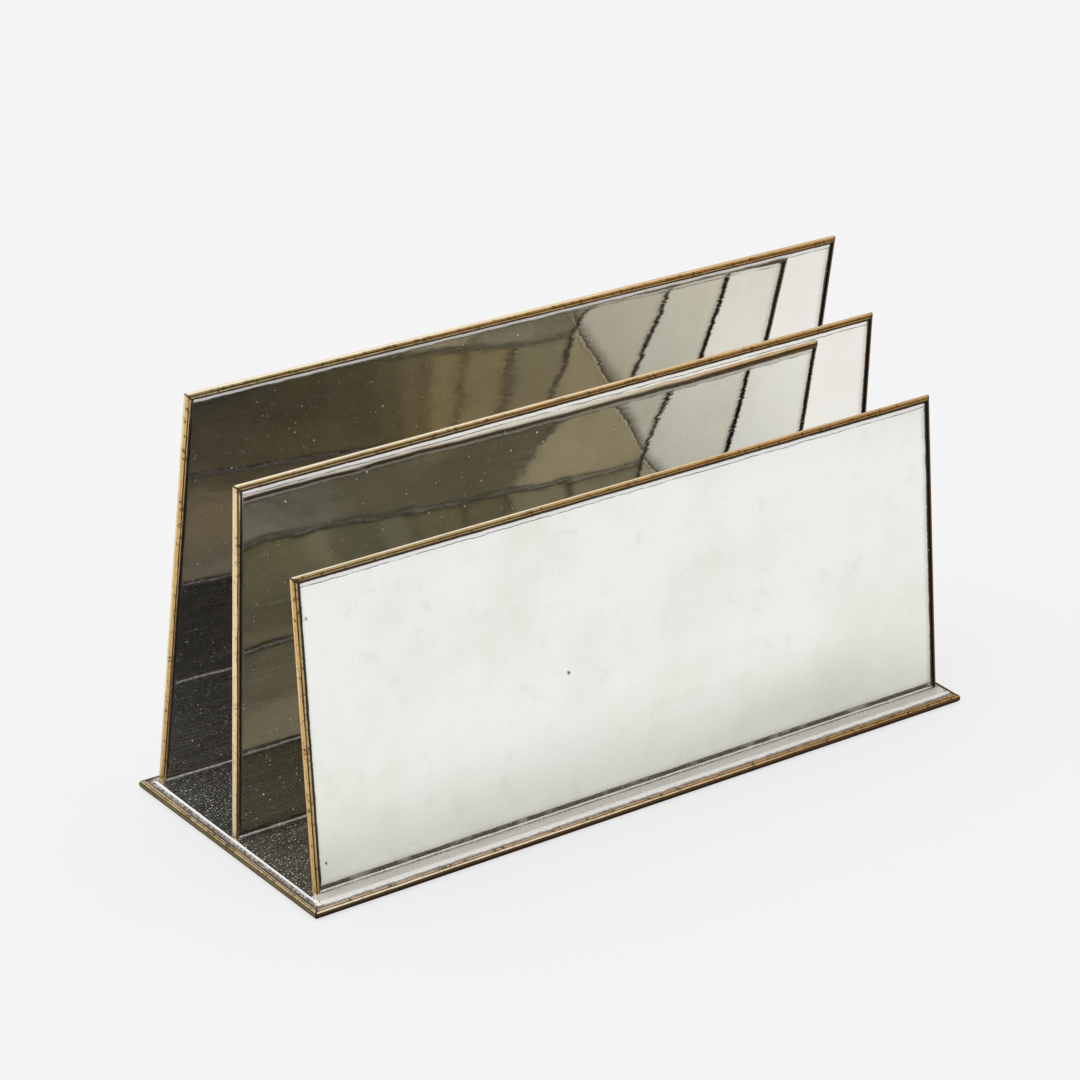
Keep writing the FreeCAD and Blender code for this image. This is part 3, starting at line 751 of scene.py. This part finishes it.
def brass_group():
    """Half-round brass: rubbed on its round, where its cream and pale bands are painted highlights, with
    lines of old polish beside the pewter.

    Round says where on the section a place is: 1 at the joint that shows, 0 on the crest and -1 at the
    far joint.
    The inputs named "at", "to", "from" and "below", and Second line, are places on that scale.
    """
    group, given, result = new_group(
        "rubbed_brass_painted_highlights",
        [("Place", VECTOR, None), ("Along", VECTOR, None), ("Round", FLOAT, 0.0), ("Tip", FLOAT, 10.0),
         ("Gold", COLOUR, None), ("Deep", COLOUR, None), ("Beyond", COLOUR, None),
         ("Bright to", FLOAT, 0.25), ("Line at", FLOAT, 0.63), ("Line width", FLOAT, 0.17),
         ("Second line", FLOAT, -2.0),
         ("Joint from", FLOAT, 0.84), ("Unrubbed from", FLOAT, 2.0), ("Black below", FLOAT, -0.36),
         ("Shine from", FLOAT, 3.0), ("Shine to", FLOAT, 3.0), ("Warm", FLOAT, 0.0),
         ("Fading", FLOAT, 0.0)],
        FINISH_OUTPUTS)
    streaks = noise(group, given["Along"], STREAKS)
    spots = noise(group, given["Place"], SPOTS)
    along_x = split(group, given["Place"])[0]
    placed = times_plus(group, streaks, STREAK_SHIFT, minus(group, given["Round"], STREAK_SHIFT / 2))
    past_bright, past_line, past_second, past_joint, past_rubbed, past_black, past_shine, past_end = (
        minus(group, placed, given[name]) for name in (
            "Bright to", "Line at", "Second line", "Joint from", "Unrubbed from", "Black below",
            "Shine from", "Shine to"))

    # Gold on the round, a deeper one past it, a third beyond the dark line; streaked, warmer to the right.
    # Where a look makes one of them cream, it is a painted highlight.
    colour = blend(group, fade(group, past_bright, *BRIGHT_EDGE), given["Gold"], given["Deep"])
    colour = blend(group, fade(group, past_line, *BEYOND_EDGE), colour, given["Beyond"])
    colour = blend(group, fade(group, streaks, *STREAK_SHOW), colour, STREAK_TINT, "MULTIPLY")
    warm = product(group, fade(group, along_x, *WARM_SPAN), given["Warm"])
    colour = blend(group, warm, colour, WARM_GOLD)
    # The shine is a painted highlight: a pale band, less like metal, that fades towards the right.
    faded = product(group, fade(group, along_x, *FADING_SPAN), given["Fading"])
    painted_shine = product(group, fade(group, past_shine, *SHINE_STARTS), fade(group, past_end, *SHINE_ENDS),
                    minus(group, 1.0, faded))
    colour = blend(group, painted_shine, colour, blend(group, warm, SHINE, WARM_SHINE))

    # Brown: two lines, spots past the bright part, the joint, the mitre, all that was never rubbed, and all
    # below Black below, which on a base wire is painted shade.
    half_width = product(group, given["Line width"], 0.5)
    from_middle = maths(group, "DIVIDE", maths(group, "ABSOLUTE", past_line), half_width)
    dark_line = product(group, fade(group, from_middle, *LINE_EDGE),
                        fade(group, streaks, *LINE_SHOW))
    second_line = line(group, past_second, 0.0, SECOND_LINE_WIDTH, SECOND_LINE_SOFT)
    mottled = product(group, fade(group, spots, *SPOT_SHOW),
                      fade(group, past_bright, *SPOTS_PAST_BRIGHT), fade(group, painted_shine, *SPOTS_IN_SHINE))
    brown = strongest(group, dark_line, second_line, mottled,
                      fade(group, past_joint, *JOINT_EDGE),
                      fade(group, given["Tip"], *MITRE_EDGE),
                      fade(group, past_rubbed, *UNRUBBED_EDGE),
                      fade(group, past_black, *BLACK_EDGE))
    colour = blend(group, brown, colour, TARNISH)

    rough = times_plus(group, brown, TARNISH_ROUGHNESS, BRASS_ROUGHNESS)
    height = times_plus(group, spots, SPOT_RISE, product(group, streaks, STREAK_RISE))
    bare_shine = product(group, painted_shine, fade(group, brown, 0.0, 1.0, 1.0, 0.0))
    metal = times_plus(group, bare_shine, -SHINE_DULLNESS, 1.0)
    for name, socket in (("Color", colour), ("Roughness", rough), ("Metallic", metal), ("Height", height)):
        group.links.new(socket, result[name])
    return group


BRASS = brass_group()
LEFT_LOOKS = {
    "front": {"Gold": COPPER_GOLD, "Deep": GOLD, "Beyond": OLIVE_GOLD, "Bright to": 0.15, "Line at": 0.62,
              "Line width": 0.24, "Joint from": 0.93},
    "middle": {"Gold": PALE_GOLD, "Deep": COPPER_GOLD, "Beyond": TAN, "Bright to": 0.45, "Line at": 0.70,
               "Line width": 0.24, "Joint from": 0.97},
    "back": {"Gold": KHAKI, "Deep": GOLD, "Beyond": COPPER_GOLD, "Bright to": 0.20, "Line at": 0.68,
             "Line width": 0.22, "Joint from": 0.95},
}
# On a top wire the cream round and the shine band are painted highlights.
TOP_LOOK = {"Gold": CREAM, "Deep": OLIVE_GOLD, "Beyond": KHAKI, "Shine from": -0.30, "Shine to": 0.24,
            "Warm": 0.9, "Fading": 0.4}
RIGHT_LOOK = {"Gold": GOLD, "Deep": ORANGE_GOLD, "Beyond": GOLD, "Unrubbed from": 0.3}
# On a base wire the cream past the round and the shine band are painted highlights.
BASE_LOOK = {"Gold": GOLD, "Deep": CREAM, "Beyond": TAN, "Bright to": 0.24, "Line at": 0.63,
             "Line width": 0.14, "Second line": 0.26, "Joint from": 0.95, "Black below": 0.23,
             "Shine from": 0.34, "Shine to": 0.56, "Warm": 0.8, "Fading": 0.9}
BASE_LEFT_LOOK = {"Gold": OLIVE_GOLD, "Deep": KHAKI, "Beyond": TAN, "Bright to": 0.24, "Line at": 0.66,
                  "Second line": 0.24, "Joint from": 0.95, "Black below": -0.10}
# Where painted shade starts on a wire's rear, as the pewter mirrors it: late on a top wire, early on an
# upright one.
TOP_DARK_FROM = -0.5
UPRIGHT_DARK_FROM = 0.3


def wire_material(name, place_of, corner, section, along, look, dark_from=None):
    """Brass of one wire.

    place_of gives its places in mm; corner is where two outer sides meet, as (axis, reach, axis, reach);
    section is (axis its round faces along, its reach, axis towards the joint that shows, middle, sign);
    along is its own axis, 0 to 2; dark_from is where painted shade starts on its rear, as the pewter
    mirrors it.
    """
    material, tree, shader = new_material(name + "_brass")
    place = place_of(tree)
    parts = split(tree, place)
    first, first_reach, second, second_reach = corner
    inward = minus(tree, first_reach, maths(tree, "ABSOLUTE", parts[first]))
    down = minus(tree, second_reach, maths(tree, "ABSOLUTE", parts[second]))
    tip = maths(tree, "ABSOLUTE", product(tree, minus(tree, inward, down), math.sqrt(0.5)))
    out_axis, reach, side_axis, middle, sign = section
    outward = minus(tree, maths(tree, "ABSOLUTE", parts[out_axis]), reach - WIRE_RADIUS)
    sideways = product(tree, minus(tree, parts[side_axis], middle), sign)
    turned = maths(tree, "DIVIDE", maths(tree, "ARCTAN2", sideways, outward), math.pi / 2)
    squeeze = [ALONG_WIRE if axis == along else ACROSS_WIRE for axis in range(3)]
    out = use_group(tree, BRASS, {
        "Place": place, "Along": stretch(tree, place, squeeze), "Round": turned, "Tip": tip, **look,
    })
    colour = out["Color"]
    if dark_from is not None:
        # In mirror rays only: a painted highlight on the wire's front and painted shade on its rear.
        mirrored = tree.nodes.new("ShaderNodeLightPath").outputs["Is Glossy Ray"]
        pale = product(tree, fade(tree, turned, *MIRRORED_SHINE_SPAN),
                       fade(tree, parts[0], *MIRRORED_SHINE_ALONG), mirrored)
        colour = blend(tree, pale, colour, MIRRORED_SHINE)
        rear = product(tree, fade(tree, turned, dark_from, dark_from - MIRRORED_REAR_WIDTH), mirrored,
                       MIRRORED_REAR_STRENGTH)
        colour = blend(tree, rear, colour, MIRRORED_REAR)
    finish_with(tree, shader, colour, out["Roughness"], out["Metallic"], out["Height"])
    return material


# -------------------------------------------------------------- finishes on the nodes

def dress(node_name, material):
    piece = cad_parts[node_name]
    piece.data.materials.clear()
    piece.data.materials.append(material)


def dress_panel(name, panel):
    """Pewter on a panel and brass on its three wires."""
    dress(name + "_panel", panel_material(name, panel))
    corner = (0, PANEL_LENGTH / 2, 2, panel["height"])

    def place_of(tree):
        return panel_place(tree, panel)

    level = (2, panel["height"], 1, 0.0, -1)
    upright = (0, PANEL_LENGTH / 2, 1, 0.0, -1)
    for side, section, along, look, dark_from in (
            ("top", level, 0, TOP_LOOK, TOP_DARK_FROM),
            ("left", upright, 2, LEFT_LOOKS[name], UPRIGHT_DARK_FROM),
            ("right", upright, 2, RIGHT_LOOK, UPRIGHT_DARK_FROM)):
        brass = wire_material(name + "_" + side, place_of, corner, section, along, look, dark_from)
        dress(name + "_wire_" + side, brass)


def dress_base():
    """Pewter on the base and brass on the wires round it."""
    dress("base_plate", base_material())
    corner = (0, BASE_LENGTH / 2, 1, BASE_DEPTH / 2)
    lengthways = (1, BASE_DEPTH / 2, 2, WIRE_RADIUS, 1)
    endways = (0, BASE_LENGTH / 2, 2, WIRE_RADIUS, 1)
    for side, section, along, look in (
            ("front", lengthways, 0, BASE_LOOK), ("back", lengthways, 0, BASE_LOOK),
            ("left", endways, 1, BASE_LEFT_LOOK), ("right", endways, 1, BASE_LOOK)):
        brass = wire_material("base_" + side, place_in_mm, corner, section, along, look)
        dress("base_wire_" + side, brass)


for name, panel in PANELS.items():
    dress_panel(name, panel)
dress_base()


# ------------------------------------------------------------------------- solder

SOLDER_PATCH = Pattern(0.5, 4.0, 0.65)
SOLDER_SKIN = Pattern(1.3, 3.0, 0.6)
SOLDER_BRIGHT = (1.0, 0.99, 0.96, 1)
SOLDER_DARK = (0.34, 0.30, 0.25, 1)
SOLDER_DARK_SHOW = (0.56, 0.72)
SOLDER_ROUGH_SHOW = (0.35, 0.7, 0.12, 0.45)
SOLDER_METAL = 0.35
SKIN_RISE = 0.16
# A bead: how much shorter than the sheet and how uneven (mm), its sides, its cuts along the length, and
# how far its middle is from the sheet and from the floor, as a share of its radius.
BEAD_SHORTER = 0.4
BEAD_UNEVEN = 0.07
BEAD_SIDES = 8
BEAD_CUTS = 150
BEAD_SEAT = 0.3
SEEDS_PER_PANEL = 10


def solder_material():
    material, tree, shader = new_material("seam_solder")
    place = place_in_mm(tree)
    patch = noise(tree, place, SOLDER_PATCH)
    # The pale solder, less like metal, with dark patches, is partly its own tone and partly painted glints
    # along the seam.
    colour = blend(tree, fade(tree, patch, *SOLDER_DARK_SHOW), SOLDER_BRIGHT, SOLDER_DARK)
    rough = fade(tree, patch, *SOLDER_ROUGH_SHOW)
    height = product(tree, noise(tree, place, SOLDER_SKIN), SKIN_RISE)
    finish_with(tree, shader, colour, rough, SOLDER_METAL, height)
    return material


def solder_bead(panel, side, seed):
    """A thin uneven rod of solder along the foot of a panel, on one side of its sheet, -1 or 1."""
    bpy.ops.object.select_all(action="DESELECT")
    length = SHEET_LENGTH - BEAD_SHORTER
    bpy.ops.mesh.primitive_cylinder_add(vertices=BEAD_SIDES, radius=BEAD_RADIUS * MM, depth=length * MM,
                                        rotation=(0, math.pi / 2, 0))
    bead = bpy.context.object
    bpy.ops.object.transform_apply(location=False, rotation=True, scale=False)
    bpy.ops.object.mode_set(mode="EDIT")
    bpy.ops.mesh.select_all(action="DESELECT")
    mesh = bmesh.from_edit_mesh(bead.data)
    for edge in mesh.edges:
        edge.select = edge.calc_length() > length * MM / 2
    bmesh.update_edit_mesh(bead.data)
    bpy.ops.mesh.subdivide(number_cuts=BEAD_CUTS)
    bpy.ops.mesh.select_all(action="SELECT")
    bpy.ops.transform.vertex_random(offset=BEAD_UNEVEN * MM, uniform=0.4, normal=0.6, seed=seed)
    bpy.ops.object.mode_set(mode="OBJECT")
    bpy.ops.object.shade_smooth()
    half_sheet = SHEET_THICKNESS / 2 / math.cos(math.radians(panel["lean"]))
    turn = math.radians(panel["turn"])
    out = side * (half_sheet + BEAD_RADIUS * BEAD_SEAT)
    bead.location = ((panel["slide"] - out * math.sin(turn)) * MM,
                     (panel["foot"] + out * math.cos(turn)) * MM,
                     (FLOOR_HEIGHT + BEAD_RADIUS * BEAD_SEAT) * MM)
    bead.rotation_euler = (0, 0, turn)
    bpy.ops.object.transform_apply(location=True, rotation=True, scale=True)
    return bead


def solder_beads():
    """A bead in front of each panel and one behind it, joined into one piece."""
    solder = solder_material()
    for number, (name, panel) in enumerate(PANELS.items()):
        beads = [solder_bead(panel, side, SEEDS_PER_PANEL * number + side + 2) for side in (-1, 1)]
        bpy.ops.object.select_all(action="DESELECT")
        for bead in beads:
            bead.select_set(True)
        bpy.context.view_layer.objects.active = beads[0]
        bpy.ops.object.join()
        beads[0].name = name + "_solder_beads"
        beads[0].data.materials.append(solder)
        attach(beads[0], "root")
        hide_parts(name + "_solder_seam")


solder_beads()


# --------------------------------------------------------------------- table and room

# Brightness of the table and the backdrop to the camera, and of the table in the metal near and far.
WHITE_LEVEL = 0.925
MIRRORED_WHITE = 1.0
FAR_LEVEL = 0.50
TABLE_SIZE = 12.0
TABLE_PAINT = 0.92
TABLE_ROUGHNESS = 0.9
# How much of the white is real paint, which takes the rack's shadow, and not plain white.
SHADOW_SHARE = 0.28
# Distances from the base in metres over which the table, in the metal, brightens from these two levels of
# painted shadow and then dims to the far one.
BRIGHTENS_OVER = 0.10
CLOSE_LEVEL = 0.70
LAST_DARK_OVER = 0.008
LAST_DARK_LEVEL = 0.06
DIMS_BETWEEN = (0.34, 0.80)

ROOM_MOTTLE = Pattern(2.6, 2.0, 0.5)
ROOM_SHOW = (0.35, 0.65)
ROOM_DARK = (0.29, 0.26, 0.21, 1)
ROOM_LIGHT = (0.40, 0.365, 0.30, 1)
# Broad patches of the room: azimuth, elevation and spread in degrees, and colour.
ROOM_PATCHES = (
    (41, 46, 16, (0.50, 0.44, 0.345, 1)),
    (-50, 38, 16, (0.46, 0.42, 0.35, 1)),
    (-36, 48, 13, (0.20, 0.18, 0.145, 1)),
    (57, 34, 11, (0.58, 0.50, 0.39, 1)),
    (-64, 22, 8, (0.72, 0.63, 0.50, 1)),
    (64, 22, 9, (0.50, 0.45, 0.35, 1)),
)
# By the parts of a direction: the pale horizon sets in as z falls, and the lamp's edge comes down from the
# first z to the second as x falls. It ends softly.
HORIZON_SPAN = (0.16, 0.02)
LAMP_EDGE_X = (0.4, -0.1)
LAMP_EDGE_Z = (0.80, 0.45)
LAMP_EDGE_SOFT = (-0.03, 0.05)
# Even light from all sides, for what isn't mirrored.
ROOM_LIGHT_STRENGTH = 0.72


def outside(tree, place, reach):
    """Distance of a place beyond a reach on both sides of 0, or 0 within it."""
    return strongest(tree, minus(tree, maths(tree, "ABSOLUTE", place), reach), 0.0)


def make_table():
    """White table. Its white is its own for the camera and for mirrors, where it has a painted shadow close
    to the rack; its real shadow stays on it.
    """
    bpy.ops.object.select_all(action="DESELECT")
    bpy.ops.mesh.primitive_plane_add(size=TABLE_SIZE, location=(0, 0, 0))
    table = bpy.context.object
    table.name = "table"
    paint, tree, shader = new_material("table_white")
    shader.inputs["Base Color"].default_value = grey(TABLE_PAINT)
    shader.inputs["Roughness"].default_value = TABLE_ROUGHNESS
    shader.inputs["Specular IOR Level"].default_value = 0.0
    # In the metal the table darkens close to the rack, a painted shadow, and falls off into the room far
    # from it.
    place = split(tree, tree.nodes.new("ShaderNodeTexCoord").outputs["Object"])
    beside = outside(tree, place[0], BASE_LENGTH / 2 * MM)
    before = outside(tree, place[1], BASE_DEPTH / 2 * MM)
    away = maths(tree, "SQRT", plus(tree, product(tree, beside, beside), product(tree, before, before)))
    painted_shadow_near = product(tree, fade(tree, away, 0.0, BRIGHTENS_OVER, CLOSE_LEVEL, 1.0),
                    fade(tree, away, 0.0, LAST_DARK_OVER, LAST_DARK_LEVEL, 1.0))
    far = fade(tree, away, *DIMS_BETWEEN, 1.0, FAR_LEVEL)
    mirrored = join(tree, *[product(tree, painted_shadow_near, far, MIRRORED_WHITE)] * 3)
    rays = tree.nodes.new("ShaderNodeLightPath").outputs
    white = blend(tree, rays["Is Camera Ray"], mirrored, grey(WHITE_LEVEL))
    glow = add_node(tree, "ShaderNodeEmission", {"Color": white, "Strength": 1.0})
    seen = strongest(tree, rays["Is Camera Ray"], rays["Is Glossy Ray"])
    share = product(tree, seen, 1.0 - SHADOW_SHARE)
    mixed = add_node(tree, "ShaderNodeMixShader", {0: share, 1: shader.outputs[0], 2: glow.outputs[0]})
    tree.links.new(mixed.outputs[0], tree.nodes["Material Output"].inputs["Surface"])
    table.data.materials.append(paint)


def room_patch(tree, direction, azimuth, elevation, spread):
    """1 towards a place of the room, 0 from spread degrees off it."""
    azimuth, elevation = math.radians(azimuth), math.radians(elevation)
    toward = (math.cos(elevation) * math.cos(azimuth), math.cos(elevation) * math.sin(azimuth),
              math.sin(elevation))
    facing = vector_maths(tree, "DOT_PRODUCT", direction, toward, output="Value")
    return fade(tree, facing, math.cos(math.radians(spread)), 1.0)


def make_world():
    """Even light; in the metal, a white ceiling lamp over a dim warm room with a pale horizon."""
    world = bpy.data.worlds.new("studio")
    bpy.context.scene.world = world
    world.use_nodes = True
    tree = world.node_tree
    tree.nodes.clear()
    rays = tree.nodes.new("ShaderNodeLightPath").outputs
    direction = tree.nodes.new("ShaderNodeTexCoord").outputs["Generated"]
    parts = split(tree, direction)
    room = blend(tree, fade(tree, noise(tree, direction, ROOM_MOTTLE), *ROOM_SHOW), ROOM_DARK, ROOM_LIGHT)
    for azimuth, elevation, spread, colour in ROOM_PATCHES:
        room = blend(tree, room_patch(tree, direction, azimuth, elevation, spread), room, colour)
    horizon = fade(tree, parts[2], *HORIZON_SPAN)
    room = blend(tree, horizon, room, grey(FAR_LEVEL * MIRRORED_WHITE))
    lamp_edge = fade(tree, parts[0], *LAMP_EDGE_X, *LAMP_EDGE_Z)
    under_lamp = fade(tree, minus(tree, parts[2], lamp_edge), *LAMP_EDGE_SOFT)
    room = blend(tree, under_lamp, room, grey(1.0))

    def glow(colour, strength=1.0):
        return add_node(tree, "ShaderNodeBackground", {"Color": colour, "Strength": strength}).outputs[0]

    def choose(rays_of_one_kind, others, these):
        return add_node(tree, "ShaderNodeMixShader", {0: rays_of_one_kind, 1: others, 2: these}).outputs[0]

    unseen = choose(rays["Is Glossy Ray"], glow(grey(1.0), ROOM_LIGHT_STRENGTH), glow(room))
    surroundings = choose(rays["Is Camera Ray"], unseen, glow(grey(WHITE_LEVEL)))
    add_node(tree, "ShaderNodeOutputWorld", {"Surface": surroundings})


make_table()
make_world()


# -------------------------------------------------------------------- lamp and camera

SOFTBOX_PLACE = Vector((-0.5, 0.6, 2.2))
SOFTBOX_SIZE = (2.2, 1.6)
SOFTBOX_WATTS = 16.0

# The camera turns about AIM by its azimuth and elevation and is rolled. In its own tilted frame, AIM then
# lies to the right by SIDE_STEP and above by RISE_STEP, below where that is negative.
AIM = Vector((0.0, 0.0, 0.060))
AZIMUTH = math.radians(-37.521)
ELEVATION = math.radians(25.536)
ROLL = math.radians(1.971)
DISTANCE = 1.38896
SIDE_STEP = 0.007962
RISE_STEP = -0.009986
FRAME_PIXELS = 1080
FOCAL_PIXELS = 4506.7
SENSOR_WIDTH = 36.0
CLIP_START = 0.01


def add_object(name, data, matrix):
    made = bpy.data.objects.new(name, data)
    bpy.context.scene.collection.objects.link(made)
    made.matrix_world = matrix
    return made


def hang_softbox():
    """A wide soft lamp that looks down at the rack."""
    lamp = bpy.data.lights.new("overhead_softbox", "AREA")
    lamp.shape = "RECTANGLE"
    lamp.size, lamp.size_y = SOFTBOX_SIZE
    lamp.energy = SOFTBOX_WATTS
    facing = (-SOFTBOX_PLACE).to_track_quat("-Z", "Y").to_matrix().to_4x4()
    add_object("overhead_softbox", lamp, Matrix.Translation(SOFTBOX_PLACE) @ facing)


def set_up_camera():
    backward = Vector((math.sin(AZIMUTH) * math.cos(ELEVATION), -math.cos(AZIMUTH) * math.cos(ELEVATION),
                       math.sin(ELEVATION)))
    level_right = Vector((math.cos(AZIMUTH), math.sin(AZIMUTH), 0.0))
    level_up = backward.cross(level_right)
    right = math.cos(ROLL) * level_right + math.sin(ROLL) * level_up
    up = math.cos(ROLL) * level_up - math.sin(ROLL) * level_right
    lens = bpy.data.cameras.new("camera")
    lens.sensor_width = SENSOR_WIDTH
    lens.lens = SENSOR_WIDTH * FOCAL_PIXELS / FRAME_PIXELS
    lens.clip_start = CLIP_START
    turn = Matrix((right, up, backward)).transposed().to_4x4()
    place = AIM + DISTANCE * backward - SIDE_STEP * right - RISE_STEP * up
    bpy.context.scene.camera = add_object("camera", lens, Matrix.Translation(place) @ turn)


hang_softbox()
set_up_camera()
bpy.context.scene.view_settings.view_transform = "Standard"
# Enough bounces for the panels to mirror one another many times over.
bpy.context.scene.cycles.glossy_bounces = 16
bpy.context.scene.cycles.max_bounces = 20
